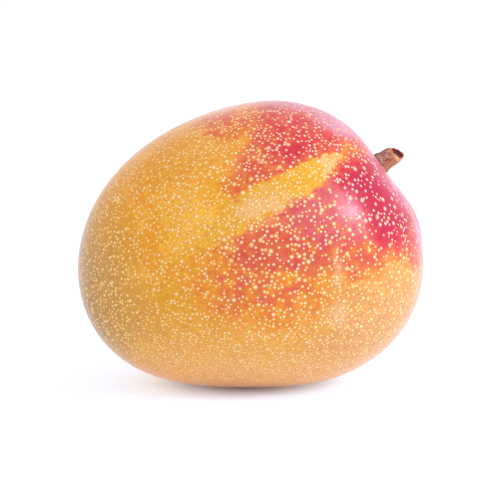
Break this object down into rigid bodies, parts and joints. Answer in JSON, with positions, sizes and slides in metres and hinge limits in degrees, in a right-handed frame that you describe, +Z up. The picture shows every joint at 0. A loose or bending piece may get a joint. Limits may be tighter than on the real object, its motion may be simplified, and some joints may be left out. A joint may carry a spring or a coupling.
{
  "type": "mango",
  "caption": "Whole ripe mango lying on its belly, golden with a red blush and pale lenticels, with a broken stub of woody stem in its pit.",
  "frame": {"origin": "on the surface that the fruit rests on, below the middle of the whole object's box", "axes": "+X towards the end that the stem grows from, +Y towards the far cheek, +Z up"},
  "size_m": [0.1106, 0.0872, 0.0907],
  "materials": {
    "mango_skin": "smooth waxy fruit skin, satin, golden orange with a crimson blush and cream lenticels",
    "stem_bark": "dry ridged bark with a dark broken end"
  },
  "bodies": {
    "root": {"mango_fruit": "mango_skin", "stem_stub": "stem_bark"}
  },
  "joints": []
}
